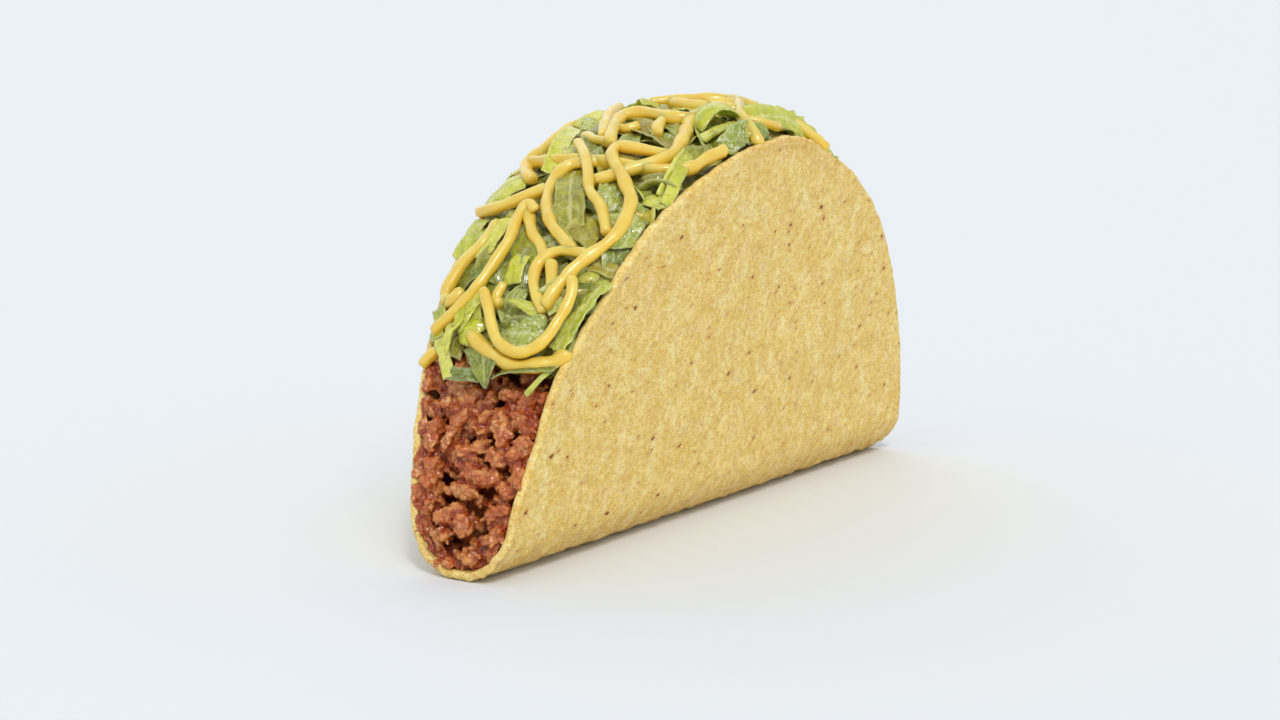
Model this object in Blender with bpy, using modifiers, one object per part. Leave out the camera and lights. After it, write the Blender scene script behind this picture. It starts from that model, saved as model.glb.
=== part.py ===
"""A crunchy corn taco that stands on its fold, filled from the bottom up with ground beef, shredded lettuce and
shredded cheese. Each filling runs through the taco from end to end.

Metres, +Z up. X runs along the fold, Y across the mouth, and the origin is under the middle of the fold.
"""

import math

import bmesh
import bpy
import numpy as np
from mathutils import Vector, noise

# The shell is a round of tortilla, fried over a bar into a U. It stretched a little across the fold.
HALF_LENGTH = 0.070
HALF_GIRTH = 0.0782  # from the middle of the fold to the rim, round the outside
WALL = 0.0015
BASE_HALF_WIDTH = 0.0024  # half of the flat strip that it stands on
FOLD_RADIUS = 0.011  # the fold is a round bend, cut off level by that strip
LEAN = math.radians(9.6)  # how far each wall leans out of the vertical
RIM_WAVE = 0.004  # unevenness of the round's edge, as a share of its radius
END_TURN = 0.07  # the round's edge is cut straight across the fold, this far round from its tips

# The fillings.
GAP = 0.0003  # between neighbouring pieces
BEEF_TOP = 0.033
BEEF_SHARE = 0.96  # the meat ends this far out from the middle, as a share of the shell
BEEF_BULGE = 0.0018
BEEF_LUMP = 0.0026  # crumbs of meat stand out of the face, and gaps sink into it, by up to this
BEEF_CRUMB = 0.0050
LETTUCE_RISE = 0.0034  # how far the lettuce stands out of the shell, in the middle
LETTUCE_LUMP = 0.0022
LETTUCE_LEAF = 0.0085
LETTUCE_OVERHANG = 0.0030  # the lowest pieces hang this far over the meat
CHEESE_THICKEST = 0.0038
CHEESE_THINNEST = 0.0010
CHEESE_TANGLE = 0.0060  # size of the knots and dips in the heap of shreds
CHEESE_SPREAD = 0.86  # share of the mouth's width that the cheese covers
CHEESE_FRAY = 0.12  # unevenness of the heap's outline
CHEESE_GAP = 0.0006  # wider than GAP, because its facets don't line up with the lettuce's

# The meshes: rows and columns of each skin.
SHELL_COLUMNS = 48
ROWS_ARC, ROWS_WALL = 4, 8  # on each side of the fold, round its bend and up the wall
BEEF_FACE, BEEF_MIDDLE, BEEF_OVER = 16, 6, 11  # stations on each open face and between them
BEEF_ARC, BEEF_WALL = 6, 3  # on each side of the fold, as for the shell
LETTUCE_STATIONS, LETTUCE_SIDE, LETTUCE_CROWN = 44, 4, 11
CHEESE_STATIONS, CHEESE_ACROSS = 46, 13

COLOURS = {
    "shell": (0.72, 0.47, 0.13),
    "beef": (0.24, 0.065, 0.02),
    "lettuce": (0.35, 0.42, 0.09),
    "cheese": (0.88, 0.48, 0.08),
}
ROUGHNESS = {"shell": 0.7, "beef": 0.3, "lettuce": 0.4, "cheese": 0.45}

FLAT_TURN = math.asin(BASE_HALF_WIDTH / FOLD_RADIUS)  # the bend has turned this far where the flat strip ends
ARC = FOLD_RADIUS * (math.pi / 2 - LEAN - FLAT_TURN)  # length of the bend, from the strip to the straight wall
BEND_END = BASE_HALF_WIDTH + ARC


def across(girth, inset=0.0):
    """(y, z) of the wall at this distance round from the middle of the fold, moved inwards by inset."""
    side = math.copysign(1.0, girth)
    reach = abs(girth)
    turned = FLAT_TURN + min(max(reach - BASE_HALF_WIDTH, 0.0), ARC) / FOLD_RADIUS
    straight = max(reach - BEND_END, 0.0)
    radius = FOLD_RADIUS - inset
    y = min(reach / BASE_HALF_WIDTH, 1.0) * radius * math.sin(turned) + straight * math.sin(LEAN)
    z = FOLD_RADIUS * math.cos(FLAT_TURN) - radius * math.cos(turned) + straight * math.cos(LEAN)
    return side * y, z


def girth_at(height, inset):
    """The distance round from the fold at which the wall, moved inwards by inset, reaches this height."""
    low, high = 0.0, HALF_GIRTH
    for _ in range(40):
        middle = (low + high) / 2
        if across(middle, inset)[1] < height:
            low = middle
        else:
            high = middle
    return low


def rim(turn, share=1.0):
    """(x, girth) of the round's edge. turn goes from 0 at the +X end to pi at the -X end."""
    wave = 1.0 + RIM_WAVE * math.sin(5 * turn + 1.0) * math.sin(turn) ** 2
    return share * HALF_LENGTH * math.cos(turn), share * wave * HALF_GIRTH * math.sin(turn)


def rim_outward(turn):
    """The direction in the XZ plane that points out of the taco, square to the mouth's edge."""
    step = 0.01
    x0, girth0 = rim(turn - step)
    x1, girth1 = rim(turn + step)
    along = Vector((x1 - x0, 0.0, across(girth1)[1] - across(girth0)[1])).normalized()
    return Vector((along.z, 0.0, -along.x))


def unevenness(point, size):
    """A smooth number from about -1 to 1 that changes over this distance."""
    return noise.noise(Vector(point) / size)


def add_object(name, mesh, collection):
    obj = bpy.data.objects.new(name, mesh)
    material = bpy.data.materials.new(name)
    material.use_nodes = True
    surface = material.node_tree.nodes["Principled BSDF"]
    surface.inputs["Base Color"].default_value = (*COLOURS[name], 1.0)
    surface.inputs["Roughness"].default_value = ROUGHNESS[name]
    surface.inputs["Metallic"].default_value = 0.0
    mesh.materials.append(material)
    mesh.shade_smooth()
    mesh.set_sharp_from_angle(angle=math.radians(50))
    collection.objects.link(obj)
    return obj


def add_loft(name, rings, collection):
    """A closed skin through rings of equally many points, shut by a face at each end."""
    bm = bmesh.new()
    rows = [[bm.verts.new(point) for point in ring] for ring in rings]
    count = len(rows[0])
    for first, second in zip(rows, rows[1:]):
        for i in range(count):
            j = (i + 1) % count
            bm.faces.new((first[i], first[j], second[j], second[i]))
    bm.faces.new(rows[0])
    bm.faces.new(rows[-1])
    bmesh.ops.triangulate(bm, faces=bm.faces)
    bmesh.ops.recalc_face_normals(bm, faces=bm.faces)
    mesh = bpy.data.meshes.new(name)
    bm.to_mesh(mesh)
    bm.free()
    return add_object(name, mesh, collection)


def add_shell(collection):
    """The tortilla's outer skin: a flat grid drawn into a round, folded, then thickened inwards."""
    rows = 1 + ROWS_ARC + ROWS_WALL
    bm = bmesh.new()
    bmesh.ops.create_grid(bm, x_segments=SHELL_COLUMNS, y_segments=2 * rows, size=1.0)
    bend = np.linspace(BASE_HALF_WIDTH, BEND_END, ROWS_ARC + 1)
    wall = np.geomspace(BEND_END, HALF_GIRTH, ROWS_WALL + 1)[1:]
    shares = np.concatenate([[0.0], bend, wall]) / HALF_GIRTH
    for vert in bm.verts:
        turn = END_TURN + (1.0 - vert.co.x) / 2 * (math.pi - 2 * END_TURN)
        x, girth = rim(turn)
        share = shares[round(abs(vert.co.y) * rows)]
        y, z = across(math.copysign(share * girth, vert.co.y))
        vert.co = (x, y, z)
    bmesh.ops.recalc_face_normals(bm, faces=bm.faces)
    middle = min(bm.faces, key=lambda face: face.calc_center_median().length)
    if middle.normal.z > 0:
        bmesh.ops.reverse_faces(bm, faces=bm.faces)
    mesh = bpy.data.meshes.new("shell")
    bm.to_mesh(mesh)
    bm.free()
    shell = add_object("shell", mesh, collection)
    thickness = shell.modifiers.new("Wall thickness", "SOLIDIFY")
    thickness.thickness = WALL
    thickness.offset = -1.0
    thickness.use_even_offset = True
    return shell


def beef_ring(turn):
    """Round the meat: under it along the shell's inside, then back over its lumpy face."""
    x, girth = rim(turn, BEEF_SHARE)
    edge_height = across(girth, WALL)[1]
    height = min(edge_height, BEEF_TOP)
    half = girth_at(height, WALL + GAP)
    bend = np.linspace(0.0, min(BEND_END, 0.8 * half), BEEF_ARC)
    side = np.concatenate([bend, np.linspace(bend[-1], half, BEEF_WALL + 1)[1:]])
    under = [across(girth, WALL + GAP) for girth in (*-side[:0:-1], *side)]
    ring = [Vector((x, y, z)) for y, z in under]
    open_face = min(1.0, max(0.0, (BEEF_TOP - edge_height) / 0.004))  # 0 where lettuce covers the meat
    outward = rim_outward(turn)
    width = under[-1][0]
    for share in np.linspace(1, -1, BEEF_OVER + 2)[1:-1]:
        point = Vector((x, share * width, height))
        lump = BEEF_LUMP * unevenness(point, BEEF_CRUMB) * (1 - share**4)
        ring.append(point + outward * open_face * (BEEF_BULGE * (1 - share**2) + lump))
    return ring


def crown(turn, share):
    """The lettuce's top, at this share of the way from the middle to a wall."""
    x, girth = rim(turn)
    y, z = across(girth, WALL + GAP)
    point = Vector((x, share * y, z))
    lump = LETTUCE_LUMP * unevenness(point, LETTUCE_LEAF)
    rise = min(LETTUCE_RISE, LETTUCE_OVERHANG + 0.1 * (z - BEEF_TOP)) + lump
    return point + rim_outward(turn) * (1 - share**4) * rise


def lettuce_ring(turn):
    """Round the lettuce: along the meat, up one wall, over the crown and down the other wall."""
    x, girth = rim(turn)
    floor = BEEF_TOP + GAP
    lowest = girth_at(floor, WALL + GAP)
    bottom = across(lowest, WALL + GAP)[0]
    ring = [Vector((x, share * bottom, floor)) for share in (-1.0, -0.5, 0.0, 0.5, 1.0)]
    wall = [across(g, WALL + GAP) for g in np.linspace(lowest, girth, LETTUCE_SIDE + 1)[1:]]
    ring += [Vector((x, y, z)) for y, z in wall]
    ring += [crown(turn, share) for share in np.linspace(1, -1, LETTUCE_CROWN + 2)[1:-1]]
    ring += [Vector((x, -y, z)) for y, z in reversed(wall)]
    return ring


def cheese_ring(turn, first, last):
    """Round the cheese, which lies on the lettuce's crown in a blanket that thins out unevenly."""
    outward = rim_outward(turn)
    run = (turn - first) / (last - first)
    fade = (1 - abs(2 * run - 1) ** 6) ** 0.5
    left = -CHEESE_SPREAD * (0.75 + 0.25 * fade + CHEESE_FRAY * unevenness((9 * turn, 0, 0), 1.0))
    right = CHEESE_SPREAD * (0.75 + 0.25 * fade + CHEESE_FRAY * unevenness((9 * turn, 5, 0), 1.0))
    shares = np.linspace(left, right, CHEESE_ACROSS)
    under = [crown(turn, share) + outward * CHEESE_GAP for share in shares]
    over = []
    for place, point in zip(np.linspace(-1, 1, CHEESE_ACROSS), under):
        fullness = fade * math.sqrt(1 - place**4)
        heap = 0.65 + 0.7 * unevenness(point, CHEESE_TANGLE)
        thickness = CHEESE_THINNEST + (CHEESE_THICKEST - CHEESE_THINNEST) * max(0.0, fullness * heap)
        over.append(point + outward * thickness)
    return under + over[::-1]


def turn_at_height(height):
    """Where the mouth's edge rises past this height, at the +X end."""
    low, high = 0.0, math.pi / 2
    for _ in range(40):
        middle = (low + high) / 2
        if across(rim(middle)[1], WALL + GAP)[1] < height:
            low = middle
        else:
            high = middle
    return high


for old in list(bpy.data.objects):
    bpy.data.objects.remove(old, do_unlink=True)

taco = bpy.data.collections.new("taco")
bpy.context.scene.collection.children.link(taco)

add_shell(taco)

BEEF_END = 0.14  # the turn at which the meat's front stands, just inside the shell's end
beef_shoulder = turn_at_height(BEEF_TOP) + 0.05
beef_turns = [
    *np.linspace(BEEF_END, beef_shoulder, BEEF_FACE),
    *np.linspace(beef_shoulder, math.pi - beef_shoulder, BEEF_MIDDLE + 2)[1:-1],
    *np.linspace(math.pi - beef_shoulder, math.pi - BEEF_END, BEEF_FACE),
]
add_loft("beef", [beef_ring(turn) for turn in beef_turns], taco)

lettuce_end = turn_at_height(BEEF_TOP + 0.0012)
lettuce_turns = np.linspace(lettuce_end, math.pi - lettuce_end, LETTUCE_STATIONS)
add_loft("lettuce", [lettuce_ring(turn) for turn in lettuce_turns], taco)

cheese_end = turn_at_height(BEEF_TOP + 0.004)
cheese_turns = np.linspace(cheese_end, math.pi - cheese_end, CHEESE_STATIONS)
cheese_rings = [cheese_ring(turn, cheese_turns[0], cheese_turns[-1]) for turn in cheese_turns]
add_loft("cheese", cheese_rings, taco)
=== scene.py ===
import math

import bmesh
import bpy
import numpy as np
from mathutils import Matrix, Vector, kdtree, noise


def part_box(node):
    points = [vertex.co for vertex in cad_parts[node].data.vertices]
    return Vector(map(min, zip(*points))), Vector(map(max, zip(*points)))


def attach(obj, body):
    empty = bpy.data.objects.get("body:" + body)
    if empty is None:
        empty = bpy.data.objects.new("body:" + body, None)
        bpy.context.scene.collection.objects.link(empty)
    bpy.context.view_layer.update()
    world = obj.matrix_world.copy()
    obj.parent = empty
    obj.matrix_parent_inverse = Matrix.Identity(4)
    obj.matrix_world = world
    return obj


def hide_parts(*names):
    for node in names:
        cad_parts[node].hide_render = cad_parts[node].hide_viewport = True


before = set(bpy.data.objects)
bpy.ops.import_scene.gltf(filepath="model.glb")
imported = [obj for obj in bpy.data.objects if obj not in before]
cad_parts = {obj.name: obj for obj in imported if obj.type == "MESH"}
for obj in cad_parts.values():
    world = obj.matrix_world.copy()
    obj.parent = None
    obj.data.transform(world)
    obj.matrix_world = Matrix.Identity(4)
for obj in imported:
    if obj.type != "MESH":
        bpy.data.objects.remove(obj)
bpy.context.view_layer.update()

# A crunchy taco that stands on its fold: a fried corn shell filled from the bottom up with ground beef,
# shredded lettuce and shredded cheese. X runs along the fold, Y across the mouth and Z up, in metres.
MM = 0.001

# ---- Camera --------------------------------------------------------------------------------------
# It looks along the fold from the -X end, a little above the taco and to the side of the -Y wall, so that it
# sees that wall, the end of the meat and the toppings.
shell_low, shell_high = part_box("shell")
CAMERA_AZIMUTH = math.radians(-56.07)
CAMERA_ELEVATION = math.radians(9.19)
CAMERA_DISTANCE = 0.430
CAMERA_LENS = 64.94
AIM_ALONG, AIM_UP = 0.2085, 0.4254  # where it aims, as shares of the shell's reach to -X and of its height
aim = Vector((AIM_ALONG * shell_low.x, 0.0, AIM_UP * shell_high.z))
backwards = Vector((
    math.sin(CAMERA_AZIMUTH) * math.cos(CAMERA_ELEVATION),
    -math.cos(CAMERA_AZIMUTH) * math.cos(CAMERA_ELEVATION),
    math.sin(CAMERA_ELEVATION),
))


def put_in_scene(name, data):
    made = bpy.data.objects.new(name, data)
    bpy.context.scene.collection.objects.link(made)
    return made


camera = put_in_scene("camera", bpy.data.cameras.new("camera"))
camera.data.lens = CAMERA_LENS
camera.data.clip_start = 0.01
camera.location = aim + CAMERA_DISTANCE * backwards
camera.rotation_euler = backwards.to_track_quat("Z", "Y").to_euler()
bpy.context.scene.camera = camera

# ---- Shell ---------------------------------------------------------------------------------------
# A round of corn tortilla, fried over a bar into a U until it is crisp. It stands on the flat of its fold.
# Frying leaves low waves and blisters in the walls, a rough fold, a chipped edge and dark toasted specks.
END_TURN = 0.07  # the round's edge is cut straight across the fold, this far round from its tips
HALF_LENGTH = shell_high.x / math.cos(END_TURN)
WALL = 1.5 * MM
BASE_HALF_WIDTH = 2.4 * MM  # half of the flat strip that it stands on
FOLD_RADIUS = 11.0 * MM  # the fold is a round bend, cut off level by that strip
LEAN = math.radians(9.6)  # how far each wall leans out of the vertical
FLAT_TURN = math.asin(BASE_HALF_WIDTH / FOLD_RADIUS)  # how far the bend has turned at the flat strip's edge
ARC = FOLD_RADIUS * (math.pi / 2 - LEAN - FLAT_TURN)  # length of the bend, from strip to straight wall
BEND_HEIGHT = FOLD_RADIUS * (math.cos(FLAT_TURN) - math.sin(LEAN))
RIM_WAVE = 0.004  # unevenness of the round's edge, as a share of its radius
APEX_WAVE = 1.0 + RIM_WAVE * math.cos(1.0)  # what that comes to at the top of the round
APEX_GIRTH = BASE_HALF_WIDTH + ARC + (shell_high.z - WALL * math.sin(LEAN) - BEND_HEIGHT) / math.cos(LEAN)
HALF_GIRTH = APEX_GIRTH / APEX_WAVE


def fold(girth, inset=0.0):
    """(y, z) of the wall at this distance round from the middle of the fold, moved inwards by inset."""
    reach = np.abs(girth)
    turned = FLAT_TURN + np.clip(reach - BASE_HALF_WIDTH, 0.0, ARC) / FOLD_RADIUS
    straight = np.maximum(reach - BASE_HALF_WIDTH - ARC, 0.0)
    radius = FOLD_RADIUS - inset
    y = np.minimum(reach / BASE_HALF_WIDTH, 1.0) * radius * np.sin(turned) + straight * math.sin(LEAN)
    z = FOLD_RADIUS * math.cos(FLAT_TURN) - radius * np.cos(turned) + straight * math.cos(LEAN)
    return np.sign(girth) * y, z


def rim(turn):
    """(x, girth) of the round's edge. turn goes from 0 at the +X end to pi at the -X end."""
    wave = 1.0 + RIM_WAVE * np.sin(5 * turn + 1.0) * np.sin(turn) ** 2
    return HALF_LENGTH * np.cos(turn), wave * HALF_GIRTH * np.sin(turn)


def unevenness(points, size, seed=0.0):
    """A smooth number from about -1 to 1 at each point, which changes over this distance."""
    places = np.asarray(points, float).reshape(-1, 3) / size + seed
    values = np.array([noise.noise(place) for place in places.tolist()])
    return values.reshape(np.shape(points)[:-1])


def together(x, y, z):
    """Arrays or numbers for three coordinates, as one array of points."""
    return np.stack(np.broadcast_arrays(x, y, z), axis=-1)


def unit(vectors):
    return vectors / np.linalg.norm(vectors, axis=-1, keepdims=True)


def hump(distance, width):
    """1 at no distance, falling smoothly to about a third at this width."""
    return np.exp(-((distance / width) ** 2))


def add_node(tree, kind, sockets, **settings):
    """A shader node, with each of its sockets given a value or linked to another node's output."""
    made = tree.nodes.new(kind)
    for name, value in settings.items():
        setattr(made, name, value)
    for name, value in sockets.items():
        if isinstance(value, bpy.types.NodeSocket):
            tree.links.new(value, made.inputs[name])
        else:
            made.inputs[name].default_value = value
    return made


def maths(tree, operation, first, second=0.0):
    return add_node(tree, "ShaderNodeMath", {0: first, 1: second}, operation=operation).outputs[0]


def times(tree, first, second):
    return maths(tree, "MULTIPLY", first, second)


def plus(tree, first, second):
    return maths(tree, "ADD", first, second)


def remap(tree, value, low, high, to_low=0.0, to_high=1.0, kind="LINEAR"):
    """The value, with low turned into to_low and high into to_high, and held between them."""
    sockets = {"Value": value, "From Min": low, "From Max": high, "To Min": to_low, "To Max": to_high}
    return add_node(tree, "ShaderNodeMapRange", sockets, interpolation_type=kind).outputs["Result"]


def cloud(tree, vector, scale, detail=2.0, roughness=0.5, output="Fac"):
    sockets = {"Vector": vector, "Scale": scale, "Detail": detail, "Roughness": roughness}
    return add_node(tree, "ShaderNodeTexNoise", sockets).outputs[output]


def make_patches_group():
    """Soft uneven patches: a mask from 0 to 1. Softness says how gradually they part."""
    tree = bpy.data.node_groups.new("patches", "ShaderNodeTree")
    tree.interface.new_socket("Vector", in_out="INPUT", socket_type="NodeSocketVector")
    for name in ("Size", "Level", "Softness"):
        tree.interface.new_socket(name, in_out="INPUT", socket_type="NodeSocketFloat")
    tree.interface.new_socket("Mask", in_out="OUTPUT", socket_type="NodeSocketFloat")
    given = tree.nodes.new("NodeGroupInput").outputs
    shade = cloud(tree, given["Vector"], maths(tree, "DIVIDE", 1.0, given["Size"]), 4.0, 0.6)
    start = maths(tree, "SUBTRACT", given["Level"], given["Softness"])
    end = plus(tree, given["Level"], given["Softness"])
    mask = remap(tree, shade, start, end, kind="SMOOTHSTEP")
    tree.links.new(mask, tree.nodes.new("NodeGroupOutput").inputs["Mask"])
    return tree


patches_group = make_patches_group()


def patches(tree, vector, size, level, softness):
    sockets = {"Vector": vector, "Size": size, "Level": level, "Softness": softness}
    return add_node(tree, "ShaderNodeGroup", sockets, node_tree=patches_group).outputs["Mask"]


def scaled(tree, vector, stretch):
    return add_node(tree, "ShaderNodeVectorMath", {0: vector, 1: stretch}, operation="MULTIPLY").outputs[0]


def shifted(tree, vector, by):
    return add_node(tree, "ShaderNodeVectorMath", {0: vector, 1: by}).outputs[0]


def blended(tree, mask, first, second):
    """first where the mask is 0, second where it is 1."""
    return add_node(tree, "ShaderNodeMix", {0: mask, 6: first, 7: second}, data_type="RGBA").outputs[2]


def layered(tree, colour, *layers):
    """The colour under layers of other colours, each given by its mask, its strength and the colour."""
    for mask, strength, tint in layers:
        colour = blended(tree, times(tree, mask, strength), colour, srgb(*tint))
    return colour


def attribute(tree, name, output="Vector"):
    return add_node(tree, "ShaderNodeAttribute", {}, attribute_name=name).outputs[output]


def srgb(red, green, blue):
    """A colour given as seen, from 0 to 255, in the linear values that a shader takes."""
    seen = np.array([red, green, blue]) / 255
    return (*np.where(seen <= 0.04045, seen / 12.92, ((seen + 0.055) / 1.055) ** 2.4), 1.0)


def new_material(name):
    material = bpy.data.materials.new(name)
    material.use_nodes = True
    return material, material.node_tree, material.node_tree.nodes["Principled BSDF"].inputs


def set_finish(tree, surface, colour, height, relief_depth, strength, constants):
    """Gives a surface its colour, its bump of this depth, and the values that are the same all over it."""
    tree.links.new(colour, surface["Base Color"])
    sockets = {"Height": height, "Distance": relief_depth, "Strength": strength}
    tree.links.new(add_node(tree, "ShaderNodeBump", sockets).outputs["Normal"], surface["Normal"])
    surface["Subsurface Scale"].default_value = 1.0
    for name, value in constants.items():
        surface[name].default_value = value


def add_piece(name, points, faces, material, attributes):
    """A smooth mesh piece that rides with the taco. attributes holds a number or a vector for each point."""
    mesh = bpy.data.meshes.new(name)
    mesh.from_pydata(np.asarray(points).tolist(), [], faces)
    mesh.materials.append(material)
    for label, values in attributes.items():
        values = np.asarray(values, np.float32)
        kind, field = ("FLOAT", "value") if values.ndim == 1 else ("FLOAT_VECTOR", "vector")
        mesh.attributes.new(label, kind, "POINT").data.foreach_set(field, values.ravel())
    mesh.shade_smooth()
    piece = put_in_scene(name, mesh)
    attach(piece, "root")
    return piece


SKIN_COLUMNS, SKIN_ROWS = 330, 134
ROW_CROWDING = 1.25  # above 1, the rows of points crowd towards the fold, where the skin is roughest
EDGE_STEPS = (0.18, 0.5, 0.82)  # how deep in the wall the loops round its broken edge lie
EDGE_BULGE = 0.5 * MM
NOTCH_TURN = math.radians(73)  # where the -Y wall's edge is notched, steeply on the side that faces -X
NOTCH_DEPTH = 0.008  # as a share of the round's radius
# Where the -Y wall's edge strays from a true round: degrees round from the +X tip, half width, mm outwards.
EDGE_STRAYS = (
    (159, 4, -0.6), (148, 4, 0.7), (137, 4, -0.4), (107, 6, -0.4), (85, 6, 0.6), (75, 2.5, -0.5),
    (30, 14, -0.45), (7, 4, 0.7),
)


def edge_wear(turn, side):
    """How far the broken edge stands out of the true round, as a share of its radius."""
    along = together(75 * turn, 40 * side, 0)  # about in mm
    wear = 0.0032 * unevenness(along, 7.0) + 0.0036 * unevenness(along, 2.6)
    wear += 0.0018 * unevenness(along, 1.5)
    notch = np.clip((NOTCH_TURN - turn) / 0.012, 0, 1) * np.clip((turn - NOTCH_TURN + 0.16) / 0.14, 0, 1)
    if side < 0:
        wear = wear - NOTCH_DEPTH * notch
        for place, half_width, stray in EDGE_STRAYS:
            wear = wear + stray * MM / HALF_GIRTH * hump(np.degrees(turn) - place, half_width)
    return wear


def relief(flat):
    """How far the wall's skin stands out: slow waves, blisters, and the rough fold."""
    reach = np.abs(flat[..., 1])
    near_fold = hump(reach - 7 * MM, 6 * MM)
    height = (0.40 - 0.3 * near_fold) * unevenness(flat, 26 * MM) + 0.11 * unevenness(flat, 6 * MM, 3.0)
    height += 0.07 * unevenness(flat, 2.4 * MM, 7.0) - 0.2 * near_fold
    height += near_fold * (0.32 * unevenness(flat, 3.2 * MM, 9.0) + 0.50 * unevenness(flat, 1.7 * MM, 5.0))
    return MM * height


def grid_faces(index):
    """The faces between the points of a grid, and the same faces turned over."""
    corners = index[:-1, :-1], index[1:, :-1], index[1:, 1:], index[:-1, 1:]
    faces = np.stack(corners, axis=-1).reshape(-1, 4)
    return faces, faces[:, [0, 3, 2, 1]]


def skin_faces(index):
    """Faces of a sheet's two skins. The inner skin's points come after all of the outer skin's."""
    outer, inner = grid_faces(index)
    return np.stack([outer, inner + index.size], axis=1).reshape(-1, 4).tolist()


def outline(index):
    """The points on the edge of a grid, in order."""
    return [*index[:, 0], *index[-1, 1:], *index[-2::-1, -1], *index[0, -2:0:-1]]


def make_shell_mesh():
    """The wall's two skins and the loops round its broken edge, with each point's place on the flat round
    and how deep it is in the wall, from 0 on the outer skin to 1 on the inner one."""
    turn = np.linspace(END_TURN, math.pi - END_TURN, SKIN_COLUMNS)
    steps = np.linspace(-1, 1, SKIN_ROWS)
    share = np.sign(steps) * np.abs(steps) ** ROW_CROWDING
    near, far = (1 - 0.6 * EDGE_BULGE / HALF_GIRTH + edge_wear(turn, side)[:, None] for side in (-1, 1))
    grow = near * (1 - share) / 2 + far * (1 + share) / 2
    x, girth = rim(turn)
    flat = together(x[:, None] * grow, girth[:, None] * grow * share, 0)
    raised = relief(flat)

    def skin(points, inset):
        y, z = fold(points[..., 1], inset)
        return together(points[..., 0], y, np.maximum(z, 0.0))

    points = [skin(flat, -raised).reshape(-1, 3), skin(flat, WALL - 0.8 * raised).reshape(-1, 3)]
    flats = [flat.reshape(-1, 3), flat.reshape(-1, 3) + (0, 0, WALL)]
    depths = [np.zeros(raised.size), np.ones(raised.size)]
    index = np.arange(raised.size).reshape(raised.shape)
    loop = outline(index)
    rings = [loop]
    edge = flats[0][loop]
    outward = unit(edge / (HALF_LENGTH**2, HALF_GIRTH**2, 1))
    for step in EDGE_STEPS:
        broken = 0.8 + 0.4 * unevenness(edge + (0, 0, 0.5 * step * WALL), 1.8 * MM)
        bulge = EDGE_BULGE * math.sqrt(1 - (2 * step - 1) ** 2) * broken
        moved = edge + outward * bulge[:, None]
        inset = step * WALL - (1 - 0.2 * step) * raised.ravel()[loop]
        count = sum(len(part) for part in points)
        rings.append(range(count, count + len(loop)))
        points.append(skin(moved, inset))
        flats.append(moved + (0, 0, step * WALL))
        depths.append(np.full(len(loop), step))
    rings.append([k + raised.size for k in loop])
    faces = skin_faces(index)
    for first, second in zip(rings, rings[1:]):
        faces += [(first[k - 1], second[k - 1], second[k], first[k]) for k in range(len(loop))]
    return np.concatenate(points), faces, np.concatenate(flats), np.concatenate(depths)


def specks(tree, flat, cell, share, smallest, largest, seed):
    """Dark flecks, one in some of the cells of this size: a mask for the flecks and one for their halos."""
    wobble = scaled(tree, cloud(tree, flat, 2600.0, 1.0, output="Color"), (0.6 * MM,) * 3)
    place = shifted(tree, shifted(tree, flat, (seed * MM, 3 * seed * MM, 0)), wobble)
    sockets = {"Vector": place, "Scale": 1 / cell}
    spots = add_node(tree, "ShaderNodeTexVoronoi", sockets, voronoi_dimensions="2D")
    kinds = add_node(tree, "ShaderNodeSeparateColor", {0: spots.outputs["Color"]}).outputs
    radius = remap(tree, kinds["Green"], 0.0, 1.0, smallest / cell, largest / cell)
    inside = maths(tree, "SUBTRACT", radius, spots.outputs["Distance"])
    chosen = maths(tree, "LESS_THAN", kinds["Red"], share)
    fleck = times(tree, remap(tree, inside, -0.04 * MM / cell, 0.08 * MM / cell), chosen)
    halo = times(tree, remap(tree, inside, -0.7 * MM / cell, 0.0), chosen)
    return fleck, halo


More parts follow.
